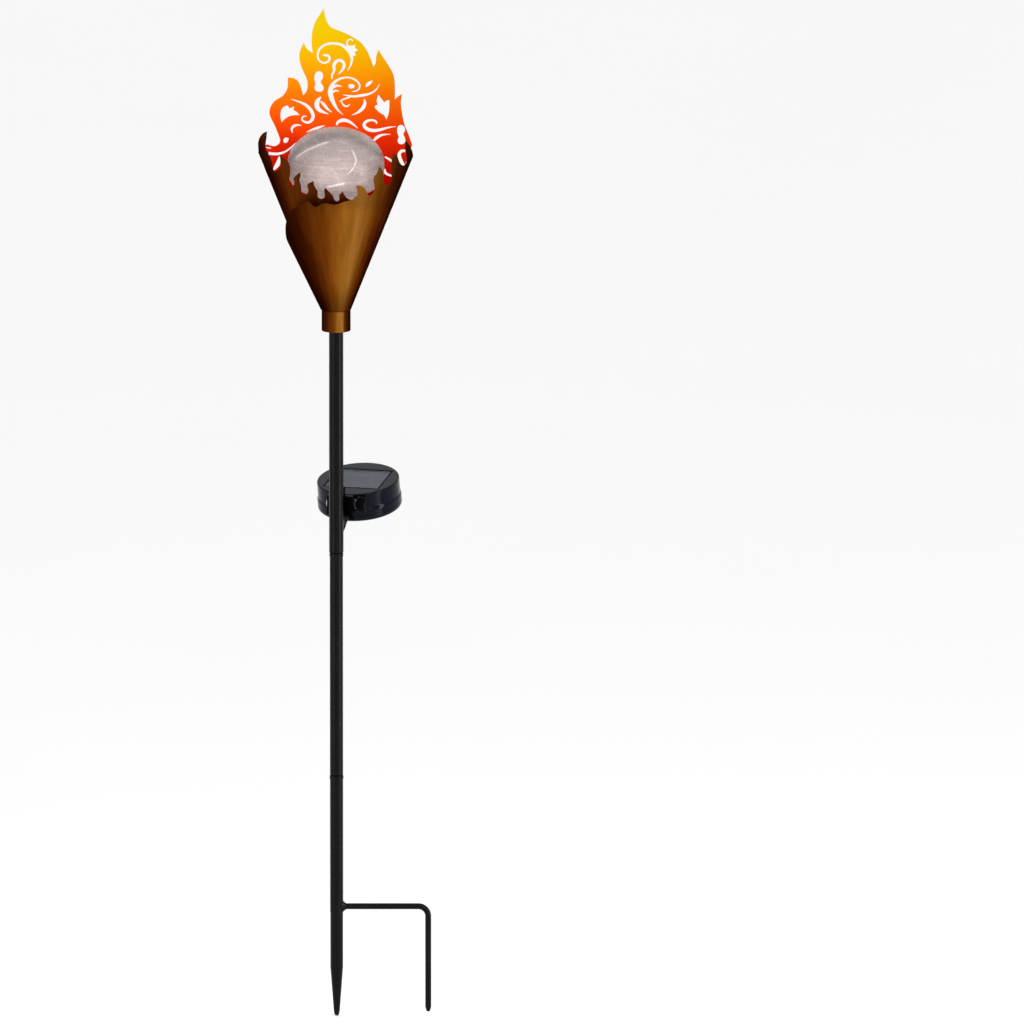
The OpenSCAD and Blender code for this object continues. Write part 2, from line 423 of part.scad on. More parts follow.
module prong_weld() color([0.1, 0.1, 0.1]) difference() {
    translate([4, 0, bar_z]) rotate([0, 90, 0]) cylinder(r1 = 5, r2 = prong_d / 2 + 0.3, h = 4.8);
    translate([0, 0, bar_z - 10]) cylinder(r = tube_r + 0.02, h = 20);
    translate([0, 0, bar_z]) rotate([0, 90, 0]) cylinder(r = prong_d / 2 + 0.01, h = 20);
}
module pole_grommet() color([0.05, 0.05, 0.05]) on_arm() translate([0, 0, grommet_z]) rotate([-90, 0, 0])
    difference() {
        union() {
            cylinder(r = 2.45, h = upper_r + 0.5);
            translate([0, 0, upper_r + 0.3]) cylinder(r1 = 3.6, r2 = 3, h = 1.2);
        }
        translate([0, 0, -1]) cylinder(r = lead_d / 2 + 0.1, h = 12);
        translate([0, 0, -1]) cylinder(r = 4, h = upper_r + 0.6);
    }
module head_lead() color([0.06, 0.06, 0.06]) on_arm() lead(head_route, 3);
module solar_lead() color([0.06, 0.06, 0.06]) on_arm() lead(free_route, 3);

// Bracket and tilt
module pole_bracket() color([0.07, 0.07, 0.08]) on_pivot() difference() {
    union() {
        translate([-5.5, -pivot_d + 3, -18]) cube([11, 8, 36]);
        translate([-12, -11, -9]) cube([24, 4.5, 18]);
        for (s = [-12, 8]) translate([s, 0, 0]) {
            rotate([0, 90, 0]) cylinder(r = 5, h = 4);
            translate([0, -10, -5]) cube([4, 10, 10]);
        }
    }
    translate([0, -pivot_d, -30]) cylinder(r = upper_r + 0.02, h = 60);
    translate([-20, 0, 0]) rotate([0, 90, 0]) cylinder(r = 2.05, h = 40);
    for (s = [-14, 14]) translate([0, -20, s]) rotate([-90, 0, 0]) cylinder(r = 1.6, h = 30);
    for (s = [-1, 1]) translate([-20, -11, s * 14 - 4.01]) cube([40, 6, 8.02]);
    translate([-7.8, -7.6, -12]) cube([15.6, 20, 24]);
}
module bracket_screws() color([0.2, 0.2, 0.2]) for (s = [-14, 14]) on_pivot()
    translate([0, -16.5, s]) rotate([-90, 0, 0]) pan_screw(1.2, 5.55, 2.6, 1.8);
module tilt_screw() color([0.6, 0.6, 0.62]) on_pivot() rotate([0, 90, 0]) {
    translate([0, 0, -14]) cylinder(r = 2, h = 33);
    translate([0, 0, -15.1]) cylinder(r = 4, h = 3);
}
module tilt_washer() color([0.65, 0.65, 0.67]) on_pivot() translate([12.05, 0, 0]) rotate([0, 90, 0])
    ring(4.4, 2.06, 0.8);
module tilt_knob() color([0.06, 0.06, 0.07]) on_pivot() translate([13.1, 0, 0]) rotate([0, 90, 0])
    difference() {
    union() {
        cylinder(r = 4.6, h = 1.2);
        translate([0, 0, 1]) cylinder(r = 7, h = 7);
        translate([0, 0, 8]) cylinder(r1 = 7, r2 = 5.8, h = 1);
    }
    translate([0, 0, -1]) cylinder(r = 2.05, h = 8);
    for (a = [0:30:330]) rotate([0, 0, a]) translate([7.9, 0, 2]) cylinder(r = 1.5, h = 8, $fn = 24);
}

// Solar unit
module unit_bosses(r, z0, z1) for (a = boss_turns) rotate([0, 0, a]) translate([boss_ring, 0, z0])
    cylinder(r = r, h = z1 - z0, $fn = 32);
module unit_base() color([0.07, 0.07, 0.09]) in_unit() difference() {
    union() {
        rotate_extrude($fn = 96) polygon(concat([[0, 0]], arc([skirt_r - 3.5, 3.5], 3.5, -90, 0, 5),
            [[skirt_r, seam_h], [skirt_r - 2.2, seam_h], [skirt_r - 2.2, seam_h + 2],
             [skirt_r - 3.7, seam_h + 2], [skirt_r - 3.7, 3.6], [skirt_r - 5.2, 2], [0, 2]]));
        unit_bosses(3.4, 1, seam_h);
        for (s = [-1, 1]) translate([s * 28 - 0.8, battery_y - 8, 1]) cube([1.6, 16, 13]);
        translate([switch_at[0] - 8, switch_at[1] - 5.5, 1]) cube([16, 11, 3]);
    }
    unit_bosses(1.5, -1, 12);
    unit_bosses(2.9, -1, 1.8);
    translate([-26, battery_y - 8.5, -1]) cube([52, 17, 4]);
    translate([-27, battery_y - 9.5, -1]) cube([54, 19, 2]);
    translate([0, battery_y - 12.4, -1]) cylinder(r = 1.3, h = 6);
    translate([-4, battery_y - 13.6, -1]) cube([8, 5, 2]);
    translate([switch_at[0] - 6, switch_at[1] - 3.5, -1]) cube([12, 7, 3.2]);
    translate([switch_at[0] - 3.7, switch_at[1] - 1.6, -1]) cube([7.4, 3.2, 7]);
}
module unit_lid() color([0.08, 0.08, 0.1]) in_unit() {
    ur = unit_d / 2;
    difference() {
        union() {
            rotate_extrude($fn = 96) polygon(concat([[skirt_r, seam_h + 0.2]], [[skirt_r, 10]],
                [[skirt_r - 0.15, 11.2], [ur + 0.15, 12.6], [ur, 13.6]],
                arc([ur - 1.2, unit_h - 1.2], 1.2, 0, 90, 4),
                [[0, unit_h], [0, unit_h - 3], [ur - 2.2, unit_h - 3], [ur - 2.2, seam_h + 2.4],
                 [ur - 1.2, seam_h + 2.4], [ur - 1.2, seam_h + 1.1], [ur + 0.1, seam_h + 1.1],
                 [ur + 0.1, seam_h + 0.2]]));
            unit_bosses(3, seam_h + 3, unit_h - 2.9);
            for (s = [-1, 1]) translate([s * 17, -6, 20.8]) cylinder(r = 2.2, h = 3.4);
            translate([-7.5, -unit_off, pivot_h]) rotate([0, 90, 0]) cylinder(r = 5, h = 15);
            translate([-7.5, -unit_off, pivot_h - 5]) cube([15, unit_off - ur + 1.5, 10]);
        }
        translate([-window[0] / 2 - 0.1, -window[1] / 2 - 0.1, unit_h - 1.8])
            cube([window[0] + 0.2, window[1] + 0.2, 4]);
        translate([-20, -unit_off, pivot_h]) rotate([0, 90, 0]) cylinder(r = 2.05, h = 40);
        for (s = [-1, 1]) translate([s * 17, -6, 18]) cylinder(r = 0.95, h = 5.4, $fn = 24);
        for (a = boss_turns) rotate([0, 0, a]) translate([boss_ring, 0, 4])
            cylinder(r = 1.3, h = 14, $fn = 32);
        translate([gland_x, -50, gland_h]) rotate([-90, 0, 0]) cylinder(r = 2.6, h = 20);
        translate([0, 0, unit_h - 5]) cylinder(r = 1.5, h = 5);
    }
}
module lid_gasket() color([0.03, 0.03, 0.03]) in_unit() translate([0, 0, seam_h + 0.02])
    ring(unit_d / 2, unit_d / 2 - 1.1, 1);
module panel_window() color([0.3, 0.32, 0.36, 0.5]) in_unit()
    translate([-window[0] / 2, -window[1] / 2, unit_h - 1.3]) cube([window[0], window[1], 1.15]);
module solar_cell() color([0.15, 0.16, 0.2]) in_unit()
    translate([-cell_size[0] / 2, -cell_size[1] / 2, unit_h - 1.78]) cube([cell_size[0], cell_size[1], 0.4]);
module circuit_board() color([0.1, 0.4, 0.2]) in_unit() difference() {
    union() {
        translate([-22, -15, 19.1]) cube([44, 18, 1.6]);
        translate([-6, -12, 17.2]) cube([6, 4, 2]);
        translate([6, -10, 16.4]) cylinder(r = 2.5, h = 2.8);
    }
    for (s = [-1, 1]) translate([s * 17, -6, 18]) cylinder(r = 1.2, h = 4, $fn = 24);
}
module board_screws() color([0.7, 0.7, 0.7]) in_unit() for (s = [-1, 1]) translate([s * 17, -6, 23.2])
    mirror([0, 0, 1]) pan_screw(0.9, 4.15, 1.9, 1.2);
module battery() color([0.2, 0.5, 0.25]) in_unit() translate([0, battery_y, battery_h]) rotate([0, 90, 0]) {
    translate([0, 0, -25]) cylinder(r = 7.1, h = 49);
    translate([0, 0, 24]) cylinder(r = 2.7, h = 1.2);
}
module battery_contacts() color([0.8, 0.78, 0.7]) in_unit() translate([0, battery_y, battery_h])
    rotate([0, 90, 0]) {
    translate([-4.4, -5, 26.6]) cube([9, 10, 0.4]);
    translate([0, 0, 25.3]) cylinder(r = 2, h = 1.4);
    translate([-4.4, -5, -27]) cube([9, 10, 0.4]);
    for (i = [0:2]) translate([0, 0, -26.35 + i * 0.45]) rotate_extrude()
        translate([3.4 - i * 0.5, 0]) circle(r = 0.35, $fn = 16);
}
module battery_door() color([0.09, 0.09, 0.11]) in_unit() difference() {
    union() {
        translate([-26.8, battery_y - 9.3, 0]) cube([53.6, 18.6, 0.9]);
        translate([-25.8, battery_y - 8.3, 0.8]) cube([51.6, 16.6, 1.6]);
        translate([-3.8, battery_y - 13.4, 0]) cube([7.6, 5, 0.9]);
    }
    translate([0, battery_y - 12, -1]) cylinder(r = 1.3, h = 6);
    for (i = [-3:3]) translate([18 + i * 1.6 - 0.3, battery_y - 5, -1]) cube([0.6, 10, 1.4]);
}
module door_screw() color([0.7, 0.7, 0.7]) in_unit() translate([0, battery_y - 12.2, 3.6]) mirror([0, 0, 1])
    pan_screw(1, 3.65, 1.9, 1.2);
module case_screws() color([0.6, 0.6, 0.6]) in_unit() for (a = boss_turns) rotate([0, 0, a])
    translate([boss_ring, 0, 14]) mirror([0, 0, 1]) pan_screw(1.2, 12.3, 2.5, 1.4);
module switch_body() color([0.6, 0.6, 0.62]) in_unit() translate([switch_at[0], switch_at[1], 4.05])
    difference() {
    translate([-6, -3, 0]) cube([12, 6, 4.6]);
    translate([-5, -2.2, -1]) cube([10, 4.4, 4.4]);
}
module switch_slider() color([0.9, 0.9, 0.9]) in_unit() translate([switch_at[0] - 1.5, switch_at[1], 0]) {
    translate([-2, -1.3, 0.5]) cube([4, 2.6, 4]);
    translate([-3.2, -2, 4.4]) cube([6.4, 4, 2.6]);
}
module lead_gland() color([0.04, 0.04, 0.04]) in_unit()
    translate([gland_x, -unit_off + 1.4, gland_h]) rotate([-90, 0, 0]) difference() {
        union() {
            cylinder(r1 = 1.9, r2 = 2.5, h = 8.8);
            translate([0, 0, 2.4]) cylinder(r = 3.4, h = 1.7);
            translate([0, 0, 8.7]) cylinder(r = 3.4, h = 1);
        }
        translate([0, 0, -1]) cylinder(r = lead_d / 2 + 0.1, h = 12);
    }

flame_panel();
cone_shell();
cone_wrap();
panel_rivets();
wrap_rivets();
collar();
glass_globe();
globe_seal();
lamp_holder();
holder_screws();
support_disc();
led_board();
led();
upper_tube();
middle_tube();
lower_tube();
stake_prong();
prong_weld();
pole_grommet();
head_lead();
solar_lead();
pole_bracket();
bracket_screws();
tilt_screw();
tilt_washer();
tilt_knob();
unit_base();
unit_lid();
lid_gasket();
panel_window();
solar_cell();
circuit_board();
board_screws();
battery();
battery_contacts();
battery_door();
door_screw();
case_screws();
switch_body();
switch_slider();
lead_gland();
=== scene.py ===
"""Looks for the solar garden torch: camera, light, materials and the pieces that are more than
their CAD solids. Everything is in metres, in the CAD frame: +Z up, the pole's axis at x = y = 0,
ground level at z = 0, and -Y the front."""

import math

import bmesh
import bpy
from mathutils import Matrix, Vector, noise


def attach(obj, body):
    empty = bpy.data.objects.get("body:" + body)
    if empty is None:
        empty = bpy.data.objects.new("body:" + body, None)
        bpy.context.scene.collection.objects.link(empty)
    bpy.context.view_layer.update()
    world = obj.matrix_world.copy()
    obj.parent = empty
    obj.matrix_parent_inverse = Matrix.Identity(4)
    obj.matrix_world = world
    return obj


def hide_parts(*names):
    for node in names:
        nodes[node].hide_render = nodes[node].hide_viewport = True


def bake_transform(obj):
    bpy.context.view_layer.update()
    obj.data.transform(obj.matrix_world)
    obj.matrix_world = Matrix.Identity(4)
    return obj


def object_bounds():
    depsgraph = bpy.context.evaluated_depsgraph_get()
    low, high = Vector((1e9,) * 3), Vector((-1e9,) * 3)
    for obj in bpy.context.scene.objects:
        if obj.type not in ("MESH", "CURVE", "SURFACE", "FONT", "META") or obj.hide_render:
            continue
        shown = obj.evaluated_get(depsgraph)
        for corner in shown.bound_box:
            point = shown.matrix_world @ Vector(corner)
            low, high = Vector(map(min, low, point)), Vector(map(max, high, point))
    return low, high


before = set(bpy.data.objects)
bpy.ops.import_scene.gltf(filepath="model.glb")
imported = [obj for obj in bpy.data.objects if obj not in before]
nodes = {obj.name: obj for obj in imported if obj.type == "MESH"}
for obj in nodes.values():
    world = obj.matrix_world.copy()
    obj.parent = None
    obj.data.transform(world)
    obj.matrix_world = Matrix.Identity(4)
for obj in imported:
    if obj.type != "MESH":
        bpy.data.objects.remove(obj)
bpy.context.view_layer.update()
cad_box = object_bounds()

MM = 0.001

# Driving dimensions, as in the CAD source
ARM_TURN = math.radians(18.4)       # bracket arm, from straight back towards the right
CUT_SLOPE = math.radians(10.5)      # slope at which the sheets' outlines are cut
ART_Z = 618 * MM                    # height of the outlines' zero line
CONE_Z = 558 * MM
CONE_R = 13.5 * MM
CONE_FLARE = 0.4
LEAD_D = 2.2 * MM
LEAD_SIDES = 20
LEAD_STEPS = 8                      # for each span of the route
# The lead's route, in mm on the bracket arm (across, along, height)
LEAD_ROUTE = [(0, 8, 348), (0, 8.6, 348), (0, 9.2, 348), (0, 11, 348.6), (0.5, 13.6, 350.2), (1.5, 15.2, 353),
              (2.5, 16, 356.2), (3.5, 16.6, 359.8), (4.4, 17.9, 363.2), (4.8, 20.2, 366), (5, 23.2, 367.5),
              (5, 27.7, 368.6), (5, 32, 369.6)]
TUBE_R = 6 * MM
GLOBE_Z = 692 * MM
GLOBE_RX = 44 * MM
GLOBE_RZ = 33 * MM
GLASS = 2.2 * MM
GLOBE_SAG = 3 * MM                  # how much fuller the blown globe is between its waist and its neck
NECK_R = 17 * MM
NECK_BORE = 14.8 * MM
NECK_Z = 647.6 * MM
NECK_BLEND_Z = 662 * MM             # the wall's unevenness fades in above this height, over NECK_BLEND
NECK_BLEND = 6 * MM
BAR_Z = 8 * MM
PIVOT_Z = 376 * MM                  # the solar unit's tilt pivot
PIVOT_D = 20 * MM
UNIT_OFF = 44 * MM                  # from the pivot to the middle of the unit
UNIT_TILT = math.radians(13)
PRONG_R = 2.75 * MM

# Camera and light, in metres and watts
LENS, SENSOR = 1200, 36
FRAME_WIDTH = 926.7 * MM
AIM = (159 * MM, 0, 371.6 * MM)
FLOOR_HALF = 60
STRIP_REACH, STRIP_Z = 1.05, 0.42


def srgb(r, g, b):
    """A colour given as 0-255 display values, as the linear RGBA that nodes take."""
    def linear(c):
        c = c / 255
        return c / 12.92 if c <= 0.04045 else ((c + 0.055) / 1.055) ** 2.4
    return (linear(r), linear(g), linear(b), 1.0)


# ---------------------------------------------------------------- camera
def make_camera():
    """A long lens at the photograph's angle: level with the front, looking 10.5 degrees down."""
    back = Vector((0, -math.cos(CUT_SLOPE), math.sin(CUT_SLOPE)))
    data = bpy.data.cameras.new("camera")
    data.lens, data.sensor_width = LENS, SENSOR
    data.clip_start, data.clip_end = 0.1, 200
    cam = bpy.data.objects.new("camera", data)
    cam.location = Vector(AIM) + back * (FRAME_WIDTH * LENS / SENSOR)
    cam.rotation_mode = "QUATERNION"
    cam.rotation_quaternion = (-back).to_track_quat("-Z", "Y")
    bpy.context.scene.collection.objects.link(cam)
    bpy.context.scene.camera = cam


make_camera()


# ---------------------------------------------------------------- mesh helpers
def new_piece(name, verts, faces, smooth=True):
    """A mesh object in the scene."""
    mesh = bpy.data.meshes.new(name)
    mesh.from_pydata(verts, [], faces)
    mesh.update()
    if smooth:
        mesh.polygons.foreach_set("use_smooth", [True] * len(mesh.polygons))
    piece = bpy.data.objects.new(name, mesh)
    bpy.context.scene.collection.objects.link(piece)
    return piece


def on_arm(a, b, z):
    """A point given in the bracket arm's directions (across, along, height), in the CAD frame."""
    c, s = math.cos(ARM_TURN), math.sin(ARM_TURN)
    return Vector((a * c + b * s, -a * s + b * c, z))


def spline(points, steps):
    """A smooth line through points, with that many steps a span."""
    pts = [2 * points[0] - points[1], *points, 2 * points[-1] - points[-2]]
    line = []
    for i in range(1, len(pts) - 2):
        p0, p1, p2, p3 = pts[i - 1:i + 3]
        for k in range(steps):
            t = k / steps
            line.append(0.5 * (2 * p1 + (p2 - p0) * t + (2 * p0 - 5 * p1 + 4 * p2 - p3) * t * t
                               + (3 * p1 - p0 - 3 * p2 + p3) * t ** 3))
    return line + [points[-1].copy()]


def tube_along(name, line, radius, sides):
    """A closed round tube that follows a line."""
    verts, faces = [], []
    last = len(line) - 1
    side = Vector((1, 0, 0))
    for i, p in enumerate(line):
        along = (line[min(i + 1, last)] - line[max(i - 1, 0)]).normalized()
        side = (side - along * side.dot(along)).normalized()
        up = along.cross(side)
        for k in range(sides):
            a = math.tau * k / sides
            verts.append(p + radius * (math.cos(a) * side + math.sin(a) * up))
    for i in range(last):
        for k in range(sides):
            j = (k + 1) % sides
            faces.append((i * sides + k, i * sides + j, (i + 1) * sides + j, (i + 1) * sides + k))
    faces.append(tuple(reversed(range(sides))))
    faces.append(tuple(range(last * sides, (last + 1) * sides)))
    return new_piece(name, verts, faces)


def turned(name, profile, turns, shape):
    """A closed body of revolution about Z from a closed (radius, height) profile.
    shape moves a point, given the point and its place on the profile."""
    verts, faces = [], []
    m = len(profile)
    for k in range(turns):
        a = math.tau * k / turns
        for i, (r, z) in enumerate(profile):
            verts.append(shape(Vector((r * math.cos(a), r * math.sin(a), z)), i))
    for k in range(turns):
        n = (k + 1) % turns
        for i in range(m):
            j = (i + 1) % m
            faces.append((k * m + i, n * m + i, n * m + j, k * m + j))
    return new_piece(name, verts, faces)


# ---------------------------------------------------------------- material helpers
class Shade:
    """A material under construction, with short calls for its nodes."""

    def __init__(self, name, **uniform):
        self.mat = bpy.data.materials.new(name)
        self.mat.use_nodes = True
        self.tree = self.mat.node_tree
        self.surface = self.tree.nodes["Principled BSDF"]
        for socket, value in uniform.items():
            self.surface.inputs[socket.replace("_", " ")].default_value = value
        coordinates = self.add("ShaderNodeTexCoord").outputs
        self.place, self.normal = coordinates["Object"], coordinates["Normal"]

    def add(self, kind, inputs=(), **settings):
        made = self.tree.nodes.new(kind)
        for key, value in settings.items():
            setattr(made, key, value)
        for key, value in dict(inputs).items():
            self.put(made.inputs[key], value)
        return made

    def put(self, socket, value):
        if isinstance(value, bpy.types.NodeSocket):
            self.tree.links.new(value, socket)
        else:
            socket.default_value = value

    def math(self, operation, a, b=0.0):
        return self.add("ShaderNodeMath", {0: a, 1: b}, operation=operation).outputs[0]

    def vector(self, operation, a, b=(0, 0, 0)):
        made = self.add("ShaderNodeVectorMath", {0: a, 1: b}, operation=operation)
        return made.outputs["Value" if operation == "DOT_PRODUCT" else "Vector"]

    def scaled(self, size):
        """Object coordinates stretched by size, one number an axis."""
        return self.add("ShaderNodeMapping", {"Vector": self.place, "Scale": size}).outputs["Vector"]

    def noise(self, size, detail=3.0, rough=0.5, where=None):
        inputs = {"Vector": where or self.place, "Scale": size, "Detail": detail, "Roughness": rough}
        return self.add("ShaderNodeTexNoise", inputs).outputs["Fac"]

    def fit(self, value, low, high, to_low=0.0, to_high=1.0, smooth=True):
        """A value that runs from low to high, made to run from to_low to to_high, and held outside that."""
        inputs = {"Value": value, "From Min": low, "From Max": high, "To Min": to_low, "To Max": to_high}
        kind = "SMOOTHSTEP" if smooth else "LINEAR"
        return self.add("ShaderNodeMapRange", inputs, interpolation_type=kind).outputs["Result"]

    def ramp(self, value, stops):
        made = self.add("ShaderNodeValToRGB", {"Fac": value})
        line = made.color_ramp.elements
        while len(line) < len(stops):
            line.new(0.5)
        for element, (at, colour) in zip(line, stops):
            element.position, element.color = at, colour
        return made.outputs["Color"]

    def gain(self, colour, value):
        """A colour made brighter or darker by a number."""
        made = self.add("ShaderNodeVectorMath", {0: colour}, operation="SCALE")
        self.put(made.inputs["Scale"], value)
        return made.outputs["Vector"]

    def mix(self, factor, a, b):
        made = self.add("ShaderNodeMix", data_type="RGBA")
        for socket, value in ((made.inputs[0], factor), (made.inputs[6], a), (made.inputs[7], b)):
            self.put(socket, value)
        return made.outputs[2]

    def bump(self, height, depth, under=None):
        """depth is the real height in metres of a full change of height."""
        inputs = {"Height": height, "Distance": depth, "Strength": 1.0}
        if under is not None:
            inputs["Normal"] = under
        made = self.add("ShaderNodeBump", inputs).outputs["Normal"]
        self.put(self.surface.inputs["Normal"], made)
        return made

    def colour(self, value):
        self.put(self.surface.inputs["Base Color"], value)

    def rough(self, value):
        self.put(self.surface.inputs["Roughness"], value)


def dress(material, *names):
    """Gives CAD nodes their material."""
    for name in names:
        mesh = nodes[name].data
        mesh.materials.clear()
        mesh.materials.append(material)


def finish_piece(piece, body, material, stands_for):
    """Gives a rigid piece its material and body, in place of a CAD node."""
    piece.data.materials.append(material)
    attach(piece, body)
    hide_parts(stands_for)


# ---------------------------------------------------------------- materials
def art_height(s):
    """Height on the cut outlines, in metres above their zero line."""
    slope = s.vector("DOT_PRODUCT", s.place, (0, math.sin(CUT_SLOPE), math.cos(CUT_SLOPE)))
    return s.math("SUBTRACT", slope, ART_Z * math.cos(CUT_SLOPE))


def cut_edge(s):
    """1 on a cone sheet's cut edges and 0 on its broad faces."""
    out = s.vector("NORMALIZE", s.vector("MULTIPLY", s.place, (1, 1, 0)))
    face = s.vector("NORMALIZE", s.vector("ADD", out, (0, 0, -CONE_FLARE)))
    match = s.math("ABSOLUTE", s.vector("DOT_PRODUCT", s.normal, face))
    return s.fit(match, 0.35, 0.8, 1.0, 0.0)


# The flame panel's paint: height on the outlines in mm, and colour
FLAME_STOPS = [(40, (226, 18, 0)), (66, (240, 26, 0)), (81, (244, 36, 0)), (92, (247, 48, 0)),
               (100, (248, 62, 0)), (117, (244, 88, 0)), (140, (238, 118, 0)), (149, (234, 134, 0)),
               (158, (231, 147, 0)), (176, (219, 168, 0)), (195, (216, 177, 0)), (214, (206, 180, 2))]


def flame_paint():
    """Yellow at the tips, through orange, to red at the cone, sprayed and baked."""
    s = Shade("flame_paint", Specular_IOR_Level=0.02)
    cloud = s.noise(28, 4, 0.6)
    height = s.math("ADD", art_height(s), s.math("MULTIPLY", s.math("SUBTRACT", cloud, 0.5), 10 * MM))
    low, high = FLAME_STOPS[0][0], FLAME_STOPS[-1][0]
    at = s.fit(height, low * MM, high * MM, smooth=False)
    paint = s.ramp(at, [((v - low) / (high - low), srgb(*c)) for v, c in FLAME_STOPS])
    speck = s.fit(s.noise(900, 2), 0.62, 0.8, 0.0, 0.25)
    paint = s.mix(speck, paint, srgb(150, 70, 10))
    s.colour(s.mix(s.math("MULTIPLY", cut_edge(s), 0.55), paint, srgb(168, 52, 6)))
    s.rough(s.fit(s.noise(160, 3), 0.3, 0.7, 0.34, 0.5))
    peel = s.bump(s.noise(1100, 2), 0.02 * MM)
    s.bump(s.noise(55, 2), 0.25 * MM, peel)
    return s.mat


# Bronze round the cone, with painted highlight and painted shade across it, darkest at both sides: place
# across it, -1 at the left to 1 at the right, and colour
WRAP_BRONZE_AND_PAINTED_LIGHT = [(-1.0, (34, 7, 2)), (-0.8, (45, 12, 1)), (-0.6, (60, 21, 2)), (-0.4, (87, 40, 6)),
              (-0.2, (110, 55, 10)), (0.0, (126, 71, 16)), (0.2, (142, 89, 25)), (0.4, (141, 91, 35)),
              (0.6, (108, 61, 12)), (0.8, (76, 30, 4)), (0.9, (50, 16, 3)), (1.0, (22, 5, 2))]
SHELL_BRONZE_AND_PAINTED_LIGHT = [(-1.0, (30, 6, 2)), (-0.88, (62, 20, 3)), (-0.72, (98, 46, 9)), (-0.5, (84, 39, 8)),
               (-0.2, (72, 27, 3)), (0.2, (76, 30, 3)), (0.6, (66, 24, 3)), (1.0, (34, 8, 2))]
COLLAR_BRONZE_AND_PAINTED_LIGHT = [(-1.0, (38, 12, 5)), (-0.73, (63, 23, 6)), (-0.45, (84, 38, 5)), (-0.18, (100, 48, 6)),
                (0.1, (147, 96, 33)), (0.37, (145, 96, 36)), (0.65, (67, 26, 3)), (1.0, (30, 12, 4))]
PAINT_LIGHT = 0.76                  # the paint's own colour for one unit of seen colour


def bronze(name, bronze_and_painted_light, painted_shade_under_edge=False, dark_foot=False):
    """Bronze paint, with painted highlight and painted shade in bands across the sheet, darkest at both sides,
    streaked along it, and a dull cut edge."""
    s = Shade(name, Metallic=0.3, Specular_IOR_Level=0.0, Specular_Tint=(0.22, 0.08, 0.03, 1.0))
    z = s.add("ShaderNodeSeparateXYZ", {0: s.place}).outputs[2]
    around = s.vector("NORMALIZE", s.vector("MULTIPLY", s.place, (1, 1, 0)))

    def streaks(round_it, up_it, detail):
        """Noise about 0, with one scale round the cone and another along it."""
        where = s.vector("ADD", s.vector("MULTIPLY", around, (round_it, round_it, 0)),
                         s.vector("MULTIPLY", s.place, (0, 0, up_it)))
        return s.math("SUBTRACT", s.noise(1.0, detail, 0.6, where), 0.5)

    broad, brushed, hair = streaks(3.2, 14, 3), streaks(14, 20, 4), streaks(110, 34, 3)
    across = s.add("ShaderNodeSeparateXYZ", {0: around}).outputs[0]
    across = s.math("ADD", across, s.math("MULTIPLY", broad, 0.36))
    at = s.fit(across, -1.0, 1.0, smooth=False)
    # The bronze colour, with painted highlight and painted shade across the sheet.
    paint = s.ramp(at, [((v + 1) / 2, srgb(*c)) for v, c in bronze_and_painted_light])
    level = s.math("ADD", s.math("MULTIPLY", brushed, 0.9), s.math("MULTIPLY", hair, 0.35))
    level = s.math("ADD", level, s.math("MULTIPLY", broad, 0.5))
    level = s.math("ADD", s.math("MULTIPLY", level, PAINT_LIGHT), PAINT_LIGHT)
    if dark_foot:
        level = s.math("MULTIPLY", level, s.fit(z, CONE_Z, CONE_Z + 34 * MM, 0.5, 1.0))
    # Painted shade under the wrap's rolled top edge: darker towards that edge.
    if painted_shade_under_edge:
        level = s.math("MULTIPLY", level, s.fit(art_height(s), 26 * MM, 37 * MM, 1.0, 0.8))
    paint = s.gain(paint, level)
    s.colour(s.mix(cut_edge(s), paint, srgb(58, 18, 6)))
    s.rough(s.fit(brushed, -0.2, 0.2, 0.36, 0.52))
    fine = s.bump(hair, 0.03 * MM)
    s.bump(s.noise(38, 3), 0.5 * MM, fine)
    return s.mat


